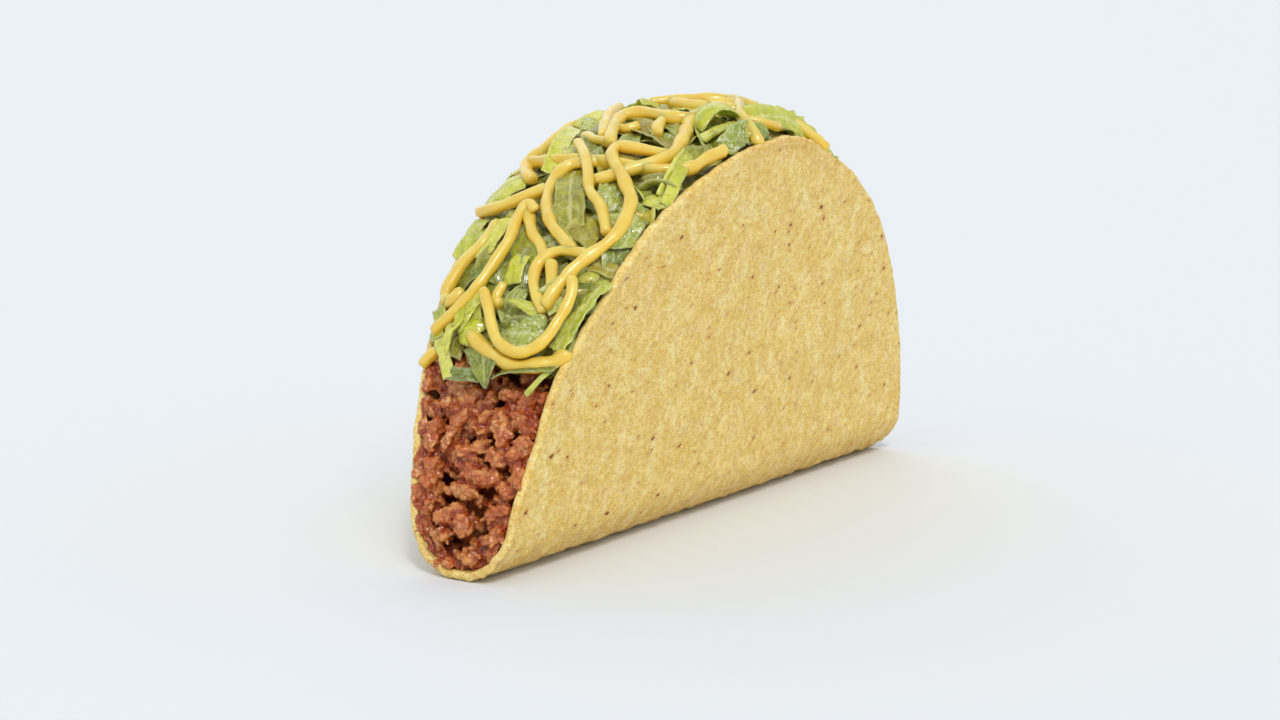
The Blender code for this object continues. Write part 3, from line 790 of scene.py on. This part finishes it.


# The pieces on top where the heap faces the -X end and the -Y wall: start, end, width, bow, roll, ruffle,
# tone, crinkle and kind, and what else a piece needs. Their places started from computed ones, and most
# were then changed one by one.
# The darker tones partly paint the shade that lies on those pieces.
TOP_LEAVES = (
    ((80, -0.52, 0.3), (88, -0.62, 0.7), 5.4, 2.9, 10, 0.2, 0.7, 0.1, 0, {"curl": -0.2}),
    ((81, -0.5, 0), (75, -0.88, 0), 1.4, 0.5, 40, 0.4, 0.45, 0.1, 0, {}),
    ((78, -0.72, 0.2), (87, -0.74, 0.3), 1.7, 0.4, -30, 0.2, 0.85, 0.1, 0, {}),
    ((80, -0.54, -0.6), (88, -0.62, -0.6), 2.6, 0.3, -10, 0.4, 0.25, 0.1, 0, {}),
    ((78, -0.92, 0.2), (86, -0.88, 0.4), 4.4, 0.8, -45, 0.7, 0.5, 0.35, 1,
     {"curl": 0.2, "cut": (0.4, -0.4)}),
    ((89, -0.74, 1), (105, -0.84, 0.8), 5, 1, -40, 0.9, 0.8, 0.3, 0.3, {}),
    ((94, -0.4, 0.6), (103, -0.58, 0.6), 4, 1.2, -25, 0.8, 0.5, 0.3, 0.8, {"cut": (0.5, 0.4)}),
    ((62, -0.92, 0.8), (72, -0.8, 1.4), 1.6, 1.2, -60, 0.25, 0.9, 0.1, 0, {}),
    ((72, -0.83, 1.3), (61, -1.03, 0.5), 2.4, 0.9, 25, 0.3, 0.8, 0.1, 0, {}),
    ((63, -0.7, 0), (65, -0.9, 0.2), 3.6, 1.2, 20, 0.4, 0.15, 0.1, -0.4, {"curl": 0.9}),
    ((60, -0.77, 0.2), (52, -0.96, 0.2), 4.6, 0.5, 20, 0.7, 0.62, 0.35, 0.9, {"cut": (-0.4, 0.3)}),
    ((61, -0.8, 0.2), (61, -1.02, 0.2), 3, 0.4, 0, 0.2, 0.72, 0.1, 0.2, {"cut": (0.3, -0.5)}),
    ((64, 0.11, 0.5), (53, -0.31, 0.3), 5.6, 0.8, 8, 0.3, 0.42, 0.1, -0.35, {"curl": 0.15}),
    ((63, -0.36, 0), (57, -0.6, 0), 4.2, 0.5, 15, 0.9, 0.54, 0.4, 0.9, {"cut": (0.3, 0.3)}),
    ((54, -0.32, -0.2), (52, -0.66, -0.1), 5.2, 0.2, 8, 0.9, 0.42, 0.3, -0.6, {"cut": (0.5, 0.4)}),
    ((58, 1, 0.3), (63, 0.66, 0.4), 5.6, 0.6, -10, 0.2, 0.8, 0.1, 0, {"curl": -0.15, "cut": (0.4, -0.3)}),
    ((66, 1.05, 0.4), (66, 0.8, 0.4), 2.6, 0.4, 0, 0.4, 0.95, 0.1, 0, {"tip": 0.7}),
    ((47.5, 0.72, 0.1), (53, 0.84, 0.2), 4.4, 0.5, -10, 0.3, 0.66, 0.1, 0, {"curl": 0.4}),
    ((47.5, 0.6, 0.5), (54, 0.5, 0.7), 3.2, 0.3, -10, 0.2, 0.9, 0.1, 0, {"cut": (0.5, 0.5)}),
    ((43, 0.02, 0.4), (47.5, 0.03, 0.8), 3.8, 0.5, 5, 0.25, 0.85, 0.1, 0, {"cut": (0.2, -0.3)}),
    ((53, 0.3, -0.2), (48, 0.1, -0.2), 4.2, 0.4, 0, 0.3, 0.5, 0.1, 0, {"cut": (-0.3, 0.3)}),
    ((50, 0.14, 0), (46.5, -0.14, 0.2), 3.4, 0.5, -10, 0.4, 0.5, 0.1, 0, {}),
    ((43, 0.88, -0.4), (47.5, 0.46, -0.4), 4, 0.4, 0, 0.6, 0.2, 0.3, 0, {}),
    ((77, 0.62, 1), (63, 0.34, 0.8), 3.4, 1, 28, 0.3, 0.85, 0.1, 0, {"curl": 0.2}),
    ((79, 0.72, 0.8), (84, 0.56, 0.9), 3.4, 0.6, -35, 0.4, 0.95, 0.1, 0, {}),
    ((77, -0.02, -0.3), (73, -0.6, -0.1), 2.8, 0.5, 20, 0.3, 0.22, 0.1, -0.6, {}),
    ((80, -0.14, -0.3), (78, -0.48, -0.2), 2.8, 0.5, -10, 0.6, 0.45, 0.1, 0.4, {}),
    ((48, -0.7, 0), (48, -1.02, 0), 3.2, 0.3, 10, 0.2, 0.5, 0.1, -0.7, {}),
    ((49, -0.74, -0.5), (46, -1, -0.5), 3.4, 0.3, -15, 0.4, 0.35, 0.1, -0.5, {}),
    ((46, -1, 0.6), (35, -0.9, 0.8), 3.4, 0.6, -25, 0.7, 0.64, 0.3, 0.3, {}),
    ((46, -0.7, -0.4), (41, -0.98, -0.2), 4.2, 0.4, 0, 0.2, 0.15, 0.1, 0, {}),
    ((36, -0.1, 0.6), (36.5, -0.66, 0.6), 6.6, 0.9, 6, 0.8, 0.52, 0.4, 0.8, {"curl": 0.2}),
    ((40, -0.56, 0.5), (42, -0.7, 0.5), 3, 0.5, 0, 0.8, 0.85, 0.1, 0.9, {}),
    ((39.5, -0.5, 0.6), (40.5, -0.06, 1.2), 2.6, 0.6, -10, 0.2, 0.72, 0.1, 0, {"tip": 0.85}),
    ((41, 0.3, 0.8), (36, 0.48, 1), 4.2, 0.8, -15, 1, 0.84, 0.3, 0, {"curl": 0.5}),
    ((38, 0.18, 0.4), (34, 0.38, 0.9), 3.8, 1, 15, 0.9, 0.74, 0.3, 0, {"curl": -0.4}),
    ((37, 0.52, 0.9), (32.5, 0.62, 1.5), 3.2, 0.7, -25, 0.9, 0.92, 0.3, 0, {"curl": 0.5}),
    ((34.5, 0.76, 1.5), (29.3, 0.38, 1.9), 2.2, 0.3, 20, 0.5, 0.92, 0.1, 0.3, {}),
    ((29.9, 0.48, 1.5), (29.9, -0.06, 1.4), 2.4, 0.3, 0, 0.4, 0.12, 0.1, 0.3, {}),
    ((34.4, 0.07, 0.7), (28.4, -0.25, 2.3), 6.8, 0.3, 8, 0.12, 0.2, 0.1, 0.15, {"tip": 0.92}),
    ((30.5, -0.28, 1.2), (33, -0.96, 0.9), 3.6, 0.6, 50, 0.4, 0.05, 0.1, 0, {}),
    ((28.5, -0.79, 1.6), (33.5, -1, 1.1), 0.9, 0.3, -20, 0.15, 0.75, 0.1, 0.3, {}),
    ((38, 1.05, 0.8), (39, 0.86, 1), 3, 0.2, 0, 0.15, 0.62, 0.1, 0, {"cut": (0.3, 0.3)}),
    ((42, 0.42, 1), (37, 0.3, 1.2), 3.2, 0.5, 0, 0.6, 0.75, 0.25, 0, {}),
    ((73, 0.52, 0.3), (66, 0.2, 0.3), 3.6, 0.6, 25, 0.3, 0.7, 0.1, 0.3, {}),
    ((104, -0.62, 0.8), (111, -0.8, 0.8), 4.2, 0.8, -40, 0.5, 0.72, 0.3, 0, {}),
    ((75, 0.32, 0), (68, 0.1, 0), 4.2, 0.5, 32, 0.6, 0.22, 0.3, 0.3, {}),
    ((83, 0.66, 0.2), (76, 0.42, 0.2), 4.2, 0.6, 32, 0.6, 0.6, 0.3, 0.6, {}),
    ((39, -0.84, -0.2), (34.5, -0.96, 0), 3.6, 0.3, 0, 0.3, 0.3, 0.1, 0.3, {}),
    ((35, 1.02, 0.8), (36, 0.8, 1), 2.6, 0.2, 0, 0.15, 0.68, 0.1, 0, {"cut": (0.3, 0.3)}),
)

rng = np.random.default_rng(11)
leaves = [leaf(rng, *sizes, **extras) for *sizes, extras in TOP_LEAVES]

# The rest of the heap: a deep layer of pieces painted darker as shade, and brighter ones over the parts
# left bare.
for _ in range(110):
    place = np.array((rng.uniform(38, 140), rng.uniform(-0.85, 0.9), rng.uniform(-2.6, -1.7)))
    away = np.array((rng.uniform(-5, 5), rng.uniform(-0.4, 0.4), 0))
    # The deep pieces get less of that painted shade towards the +X end.
    paler = min(max((place[0] - 45) / 120, 0), 0.25)
    leaves.append(leaf(
        rng, place - away, place + away, rng.uniform(5, 8), bow=0.4, roll=rng.uniform(-12, 12), ruffle=0.6,
        tone=rng.uniform(0.05, 0.45) + paler, crinkle=0.1, kind=rng.uniform(-0.5, 0.6), fine=False,
    ))
# The deep pieces here get darker tones than the ones on top: painted shade.
for deep, count in ((True, 150), (False, 74)):
    for _ in range(count):
        around = rng.uniform(31, 136) if deep else rng.uniform(88, 126)
        share = rng.uniform(-0.88, 0.92) * (0.65 if around > 118 else 1.0)
        share = max(share, -0.3) if not deep and around < 102 else share
        heading = rng.uniform(0, 2 * math.pi)
        length = rng.uniform(4, 9)
        lift = rng.uniform(-1.5, -0.4) if deep else rng.uniform(-0.3, 0.7)
        far_around = min(max(around + length * math.cos(heading) / MM_PER_DEGREE, 32), 144)
        far_share = min(max(share + length * math.sin(heading) / MM_PER_SHARE, -0.94), 0.96)
        leaves.append(leaf(
            rng, (around, share, lift), (far_around, far_share, lift), rng.uniform(2.8, 6.0),
            bow=rng.uniform(0, 1.3), roll=rng.uniform(-20, 20) - 22 * math.cos(heading),
            curl=rng.uniform(-0.4, 0.5), ruffle=rng.uniform(0.2, 0.8), kind=rng.uniform(-0.9, 0.9),
            tone=rng.uniform(0.2, 0.72) if deep else rng.uniform(0.4, 0.95), tip=rng.choice([0, 0, 0.5]),
            twist=rng.uniform(-25, 25), cut=rng.uniform(-0.7, 0.7, 2), crinkle=rng.uniform(0, 0.35),
            fine=not deep,
        ))
# At the +X end the heap thins out over the meat.
for _ in range(46):
    place = np.array((rng.uniform(137, 148), rng.uniform(-0.75, 0.85), rng.uniform(-2.0, -0.7)))
    away = np.array((rng.uniform(-3, 3), rng.uniform(-0.35, 0.35), 0))
    leaves.append(leaf(
        rng, place - away, place + away, rng.uniform(3.5, 6.5), bow=0.5, roll=rng.uniform(-15, 15),
        curl=rng.uniform(-0.3, 0.4), ruffle=0.6, tone=rng.uniform(0.2, 0.8), kind=rng.uniform(-0.8, 0.9),
        twist=rng.uniform(-20, 20), cut=rng.uniform(-0.7, 0.7, 2), crinkle=0.2, fine=False,
    ))
# Last, a piece along the far wall's rim.
leaves.append(leaf(rng, (48, 1.02, 0.1), (55, 0.92, 0.4), 3.4, 0.4, -10, 0.4, 0.8, 0.1, 0.2))


def make_lettuce_material():
    material, tree, surface = new_material("crisp_lettuce")
    place = attribute(tree, "leaf")
    parts = add_node(tree, "ShaderNodeSeparateXYZ", {0: place}).outputs
    drift = times(tree, plus(tree, cloud(tree, place, 0.4), -0.5), 0.8)
    ramp = add_node(tree, "ShaderNodeValToRGB", {"Fac": plus(tree, attribute(tree, "tone", "Fac"), drift)})
    stops = ramp.color_ramp.elements
    stops[0].color = srgb(90, 99, 20)
    stops[1].color = srgb(219, 217, 96)
    for position, green in ((0.3, (126, 136, 28)), (0.55, (163, 170, 34)), (0.8, (197, 200, 50))):
        stops.new(position).color = srgb(*green)
    # A pale rib down the middle of some pieces, fine veins along them, a net of veins, and pale cut edges,
    # partly their own colour and partly a painted highlight.
    own = add_node(tree, "ShaderNodeTexWhiteNoise", {"W": parts["Z"]}, noise_dimensions="1D")
    own = own.outputs["Value"]
    wander = times(tree, plus(tree, cloud(tree, place, 0.5, 1.0), -0.5), 1.6)
    rib = remap(tree, maths(tree, "ABSOLUTE", plus(tree, parts["Y"], wander)), 0.5, 0.15, kind="SMOOTHSTEP")
    rib = times(tree, rib, maths(tree, "GREATER_THAN", own, 0.55))
    fibres = plus(tree, cloud(tree, scaled(tree, place, (0.14, 0.8, 1.0)), 1.0, 1.0), -0.5)
    veins = remap(tree, maths(tree, "ABSOLUTE", fibres), 0.03, 0.0, kind="SMOOTHSTEP")
    bent = shifted(tree, place, cloud(tree, place, 0.9, 1.0, output="Color"))
    sockets = {"Vector": bent, "Scale": 0.55}
    puffs = add_node(tree, "ShaderNodeTexVoronoi", sockets, feature="DISTANCE_TO_EDGE").outputs["Distance"]
    net = remap(tree, puffs, 0.07, 0.0, kind="SMOOTHSTEP")
    pale = times(tree, rib, 0.4)
    edge = attribute(tree, "edge", "Fac")
    for mask, strength in ((times(tree, veins, own), 0.3), (edge, 0.28), (net, 0.2)):
        pale = maths(tree, "MAXIMUM", pale, times(tree, mask, strength))
    kind = attribute(tree, "kind", "Fac")
    cool = remap(tree, kind, 0.0, 1.0, 0.0, 0.4)
    # Painted glints: pale flecks on the grey-green pieces stand in for the glints off their wet crinkles.
    fleck = patches(tree, scaled(tree, place, (0.8, 1.2, 1.0)), 0.55, 0.58, 0.07)
    colour = layered(
        tree, ramp.outputs["Color"],
        (remap(tree, kind, 0.0, -1.0), 0.6, (178, 136, 50)),
        (cool, 1.0, (130, 155, 76)),
        (times(tree, fleck, cool), 1.8, (246, 250, 228)),
        (pale, 1.0, (228, 230, 172)),
    )
    puffed = remap(tree, puffs, 0.0, 0.35, kind="SMOOTHSTEP")
    height = times(tree, cloud(tree, place, 1.3, 3.0), 0.7)
    for bumps, strength in ((cloud(tree, place, 3.0), 0.2), (puffed, 0.45)):
        height = plus(tree, height, times(tree, bumps, strength))
    set_finish(tree, surface, colour, height, 0.5 * MM, 0.7, {
        "Roughness": 0.32,
        "Specular IOR Level": 0.22,
        "Coat Weight": 0.5,
        "Coat Roughness": 0.07,
        "Subsurface Weight": 0.4,
        "Subsurface Radius": (1.0 * MM, 1.3 * MM, 0.4 * MM),
    })
    return material


lettuce_material = make_lettuce_material()
leaf_points, leaf_faces, leaf_marks = joined(leaves)
leaf_points = keep_inside(leaf_points, 0.45 * MM)
lettuce = add_piece("lettuce_ribbons", leaf_points, leaf_faces, lettuce_material, leaf_marks)
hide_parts("lettuce")

LETTUCE_CORE_SIZE = (0.93, 0.9, 0.93)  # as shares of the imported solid's
packed, packed_faces = packed_solid("lettuce")
packed_floor = (0, 0, packed[:, 2].min())
packed = (packed - packed_floor) * LETTUCE_CORE_SIZE + packed_floor
# The core's dark tone is painted shade.
lettuce_core = add_piece("lettuce_core", packed, packed_faces, lettuce_material, {
    "leaf": packed / MM,
    "tone": np.full(len(packed), 0.35),
    "edge": np.zeros(len(packed)),
    "kind": np.full(len(packed), -0.5),
})

# ---- Cheese --------------------------------------------------------------------------------------
# Mild yellow cheese, shredded through a round-holed grater into soft strings with blunt ends. They were
# dropped over the lettuce last, so they loop and cross freely on top of it.
SHRED_RADIUS = 1.05 * MM
SHRED_SIDES = 14
SHRED_STEP = 0.5 * MM  # from one ring of points to the next
# Each shred's route, as (around, share, lift in mm) places, and how thick it is. A scratch script worked out
# most of the arounds and shares, from points picked by eye, and most lifts were then set by hand.
SHREDS = (
    (((70, -0.72, 1.6), (69, -0.36, 1.8), (68.5, -0.23, 2), (67, -0.23, 2), (65, -0.34, 2),
      (63, -0.5, 1.9), (61, -0.64, 1.8), (58.5, -0.79, 1.8), (54, -0.87, 1.8), (51, -0.85, 1.9),
      (48, -0.75, 1.9), (45.5, -0.67, 1.8), (42.5, -0.61, 1.8), (40, -0.57, 1.6)), 1),
    (((44.5, -0.76, 2.8), (42.5, -0.84, 2.8), (40.5, -0.86, 2.7), (38, -0.84, 2.6), (36, -0.81, 2.6),
      (34.5, -0.73, 2.5), (33.5, -0.59, 2.5), (33.5, -0.42, 2.5), (34.5, -0.21, 2.6), (36.5, -0.05, 2.7),
      (38.5, 0.07, 2.8), (41, 0.23, 3)), 1),
    (((49, -0.7, 1.1), (48.5, -0.39, 1.2), (46.5, -0.24, 1.2), (44, -0.26, 1.1), (42, -0.36, 1),
      (39.5, -0.57, 0.9)), 1),
    (((47, -0.35, 0.8), (43, -0.52, 0.8), (41, -0.58, 0.6)), 1.05),
    (((82, -0.42, 1.1), (77, -0.59, 1.2), (73.5, -0.67, 1.2), (70, -0.71, 1.2), (66, -0.57, 1.1),
      (62.5, -0.33, 1), (61.5, -0.22, 0.8)), 1.25),
    (((62, 0.54, 0.6), (64.5, 0.72, 0.9), (67, 0.78, 0.9), (66, 0.46, 0.9), (66, 0.1, 0.8),
      (66, -0.23, 0.8), (66, -0.56, 0.8), (67, -0.77, 0.8), (70, -0.93, 0.8), (73, -0.95, 0.9),
      (77, -0.99, 1.2)), 1.15),
    (((65.5, -0.14, 1.2), (65, 0.03, 1.3), (64, 0.16, 1.4), (61.5, 0.2, 1.4), (58.5, 0.16, 1.3),
      (55.5, 0.05, 1.3), (52.5, -0.14, 1.3), (50.5, -0.36, 1.2), (49, -0.53, 1.2)), 1),
    (((69.5, 0.28, 2), (66, 0.04, 2.2), (62.5, -0.15, 2), (59, -0.32, 1.8), (56.5, -0.55, 1.7),
      (52.5, -0.78, 1.6)), 0.9),
    (((56.5, 1.06, 0.9), (56.5, 0.98, 1), (56, 0.72, 1.2), (57, 0.5, 1.2), (59.5, 0.23, 1)), 1.05),
    (((35.5, 0.95, 1.6), (37, 0.75, 1.7), (39, 0.57, 1.7), (41.5, 0.42, 1.8), (44, 0.34, 1.8),
      (49, 0.26, 1.8), (52.5, 0.3, 1.8), (55, 0.3, 1.8), (55.5, 0.24, 1.8), (54.5, 0.15, 1.5)), 1),
    (((55, 0.26, 1), (53.5, 0.2, 0.8), (51, 0.05, 0.8), (49.5, -0.1, 0.8), (47.5, -0.24, 0.8)), 1),
    (((53.5, 0.63, 0.7), (49.5, 0.68, 0.8), (46.5, 0.84, 0.9), (43, 0.95, 0.9), (41.5, 0.96, 0.9),
      (40, 0.87, 1)), 1),
    (((42, 0.71, 0.5), (40.5, 0.79, 0.6), (40, 0.92, 0.7)), 1),
    (((82, 0.72, 1.2), (80, 0.82, 1.4), (78.5, 0.86, 1.3), (74.5, 0.86, 1), (70, 0.87, 0.8),
      (68, 0.92, 0.8)), 1.1),
    (((72.5, 0.12, 1.2), (76, 0.25, 1.3), (81, 0.42, 1.4), (86, 0.55, 1.6)), 1.05),
    (((70, -0.06, 1.3), (73, 0.05, 1.4), (77, 0.17, 1.4), (80, 0.21, 1.4), (81, 0.07, 1.4),
      (80.5, -0.13, 1.4), (80, -0.33, 1.4), (81, -0.45, 1.3), (82.5, -0.48, 1.3), (83, -0.62, 1.3)), 1.1),
    (((73.5, 0.39, 0.6), (72, 0.23, 0.7), (71.5, 0.09, 0.8), (70.5, -0.04, 0.8)), 1),
    (((80.5, -0.21, 0.8), (77, -0.29, 0.8), (75, -0.37, 0.7)), 1),
    (((77, 0.2, 0.4), (76, 0.04, 0.5), (77.5, -0.06, 0.5)), 0.9),
    (((89.5, 0.36, 1.5), (91, 0.27, 1.5), (92, 0.16, 1.6), (93, 0.02, 1.8), (94, -0.17, 2),
      (95.5, -0.31, 2.2)), 1.1),
    (((95.5, -0.28, 2.2), (94.5, -0.42, 2), (91, -0.58, 1.7), (88, -0.74, 1.4), (86.5, -0.9, 0.8),
      (86, -1, -0.6)), 1.15),
    (((93, -0.5, 1), (90, -0.64, 1.1), (87, -0.8, 0.8), (85.5, -0.94, 0)), 1.1),
    (((96, -0.32, 2.4), (97, -0.39, 2.2), (99, -0.46, 1.8)), 1),
    (((98, -0.5, 1), (99.5, -0.58, 1.2), (101, -0.68, 1.3), (102.5, -0.8, 1.3), (104, -0.94, 1),
      (106, -1.04, 0.2)), 1.1),
    (((36.5, 0.42, 0.8), (35, 0.24, 0.8), (34, 0.08, 0.8), (33, -0.16, 0.8), (32, -0.45, 0.8),
      (32.5, -0.72, 0.8), (33.5, -0.92, 0.7), (35, -1.02, 0.6)), 1.15),
    (((31, 1.06, 1), (32, 0.98, 1), (33, 0.83, 1), (34, 0.66, 1)), 1.05),
    (((42.5, 0.05, 1.8), (40.5, 0.09, 1.5), (39.5, 0.01, 1.2)), 0.95),
)


def smooth_route(places):
    """Evenly spaced points along a smooth curve through the places."""
    points = [crown(around, share, lift * MM) for around, share, lift in places]
    ends = [2 * points[0] - points[1], *points, 2 * points[-1] - points[-2]]
    curve = []
    for a, b, c, d in zip(ends, ends[1:], ends[2:], ends[3:]):
        for t in np.linspace(0, 1, 24, endpoint=False):
            curve.append(0.5 * (2 * b + (c - a) * t + (2 * a - 5 * b + 4 * c - d) * t**2
                                + (3 * b - a - 3 * c + d) * t**3))
    curve = np.array([*curve, points[-1]])
    travelled = np.concatenate([[0], np.cumsum(np.linalg.norm(np.diff(curve, axis=0), axis=1))])
    count = max(int(travelled[-1] / SHRED_STEP), 6)
    even = np.linspace(0, travelled[-1], count)
    return np.stack([np.interp(even, travelled, curve[:, k]) for k in range(3)], axis=-1)


def shred(rng, places, thickness=1.0):
    """One string of cheese through these places."""
    route = keep_inside(smooth_route(places), 1.0 * MM)
    seed = float(rng.uniform(0, 99))
    count = len(route)
    tangents = unit(np.gradient(route, axis=0))
    side = np.cross(tangents[0], (0.3, 0.2, 1.0))
    from_end = np.minimum(np.arange(count), np.arange(count)[::-1]) * SHRED_STEP
    blunt = np.sqrt(np.clip(1 - np.clip(1 - from_end / (0.5 * SHRED_RADIUS), 0, 1) ** 2, 0.55, 1))
    slant = rng.uniform(-0.6, 0.6) * hump(from_end, 0.8 * MM)
    size = SHRED_RADIUS * thickness * rng.uniform(0.92, 1.08)
    thick = size * blunt * (1 + 0.28 * unevenness(together(np.arange(count) * 0.16, seed, 0), 1.0))
    angles = np.linspace(0, 2 * math.pi, SHRED_SIDES, endpoint=False)
    squared = (np.abs(np.cos(angles)) ** 2.7 + np.abs(np.sin(angles)) ** 2.7) ** (-1 / 2.7)
    flatness, twist = rng.uniform(0.8, 1.0), rng.uniform(-0.02, 0.02)
    points, under, along = [], [], []
    # The ring's two axes are carried along the string, turning slightly from each ring to the next.
    for i in range(count):
        side = side - tangents[i] * np.dot(side, tangents[i])
        side /= np.linalg.norm(side)
        up = np.cross(tangents[i], side)
        side, up = side + twist * up, up - twist * side
        ridged = thick[i] * squared * (1 + 0.03 * np.cos(3 * angles + 0.02 * i + seed))
        round_it = np.outer(ridged * np.cos(angles), side)
        round_it += flatness * np.outer(ridged * np.sin(angles), up)
        ring = route[i] + round_it + np.outer(slant[i] * ridged * np.cos(angles), tangents[i])
        points.append(ring)
        # How far each point faces down, which sets the painted glow on the undersides.
        under.append(0.5 - 0.5 * round_it[:, 2] / thick[i])
        along.append(together(i * 0.5, np.cos(angles), seed + np.sin(angles)))
    index = np.arange(count * SHRED_SIDES).reshape(count, SHRED_SIDES)
    faces = grid_faces(np.hstack([index, index[:, :1]]))[1].tolist()
    faces += [index[0, ::-1].tolist(), index[-1].tolist()]
    return np.concatenate(points), faces, {"shred": np.concatenate(along), "under": np.concatenate(under)}


rng = np.random.default_rng(3)
shreds = [shred(rng, places, thickness) for places, thickness in SHREDS]
# The rest, dropped at random over the far half of the heap.
BEND_SPACING = 5  # mm from one bend to the next
WIDEST_SHARE = 18  # mm, half of the mouth's width at its widest
for _ in range(34):
    around, share = rng.uniform(92, 143), rng.uniform(-0.75, 0.85)
    heading, turning = rng.uniform(0, 2 * math.pi), rng.uniform(-0.9, 0.9)
    level = rng.uniform(0.7, 1.9)
    places = []
    for _ in range(int(rng.integers(3, 8))):
        places.append((around, share, level + rng.uniform(-0.5, 0.5)))
        heading += turning + rng.uniform(-0.3, 0.3)
        around = min(max(around + BEND_SPACING * math.cos(heading) / MM_PER_DEGREE, 90), 146)
        share = min(max(share + BEND_SPACING * math.sin(heading) / WIDEST_SHARE, -0.85), 0.92)
    shreds.append(shred(rng, places))


def make_cheese_material():
    material, tree, surface = new_material("mild_cheese")
    paler = patches(tree, add_node(tree, "ShaderNodeTexCoord", {}).outputs["Object"], 4 * MM, 0.5, 0.2)
    colour = blended(tree, paler, srgb(224, 188, 68), srgb(230, 204, 97))
    # Painted light: the undersides are painted a brighter, deeper orange, standing in for light glowing
    # through the cheese and lifting their shade.
    under = remap(tree, attribute(tree, "under", "Fac"), 0.2, 0.85, kind="SMOOTHSTEP")
    colour = layered(tree, colour, (under, 0.95, (250, 201, 56)))
    pores = cloud(tree, attribute(tree, "shred"), 2.2, 3.0)
    set_finish(tree, surface, colour, pores, 0.15 * MM, 0.35, {
        "Roughness": 0.34,
        "Specular IOR Level": 0.6,
        "Coat Weight": 0.5,
        "Coat Roughness": 0.16,
        "Subsurface Weight": 0.4,
        "Subsurface Radius": (3.0 * MM, 1.8 * MM, 0.5 * MM),
    })
    return material


cheese_points, cheese_faces, cheese_marks = joined(shreds)
cheese = add_piece("cheese_shreds", cheese_points, cheese_faces, make_cheese_material(), cheese_marks)
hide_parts("cheese")

# ---- Floor, light and view -----------------------------------------------------------------------
# A wide pale floor and a pale sky-white surround. A wide soft sun and a smaller, sharper one shine from the
# upper left of the open end, and a very soft one from behind keeps the shadows open.
FLOOR_RADIUS = 40.0
floor_mesh = bpy.data.meshes.new("floor")
bm = bmesh.new()
bmesh.ops.create_circle(bm, cap_ends=True, segments=96, radius=FLOOR_RADIUS)
bm.to_mesh(floor_mesh)
bm.free()
floor_material, _, floor_surface = new_material("pale_floor")
floor_surface["Base Color"].default_value = srgb(226, 229, 232)
floor_surface["Roughness"].default_value = 0.9
floor_surface["Specular IOR Level"].default_value = 0.2
floor_mesh.materials.append(floor_material)
floor = put_in_scene("floor", floor_mesh)

world = bpy.data.worlds.new("surround")
bpy.context.scene.world = world
world.use_nodes = True
surround = world.node_tree.nodes["Background"].inputs
surround["Color"].default_value = srgb(232, 236, 240)
surround["Strength"].default_value = 0.85


def add_sun(name, towards_it, strength, angle, colour):
    lamp = put_in_scene(name, bpy.data.lights.new(name, "SUN"))
    lamp.data.energy = strength
    lamp.data.angle = math.radians(angle)
    lamp.data.color = colour
    lamp.rotation_euler = Vector(towards_it).to_track_quat("Z", "Y").to_euler()


add_sun("key", (-0.55, -0.62, 0.75), 0.80, 24, (1.0, 0.985, 0.96))
add_sun("spark", (-0.56, -0.55, 0.8), 0.72, 7, (1.0, 0.99, 0.97))
add_sun("fill", (0.5, 0.7, 0.6), 0.4, 60, (1.0, 1.0, 1.0))
bpy.context.scene.view_settings.view_transform = "Standard"
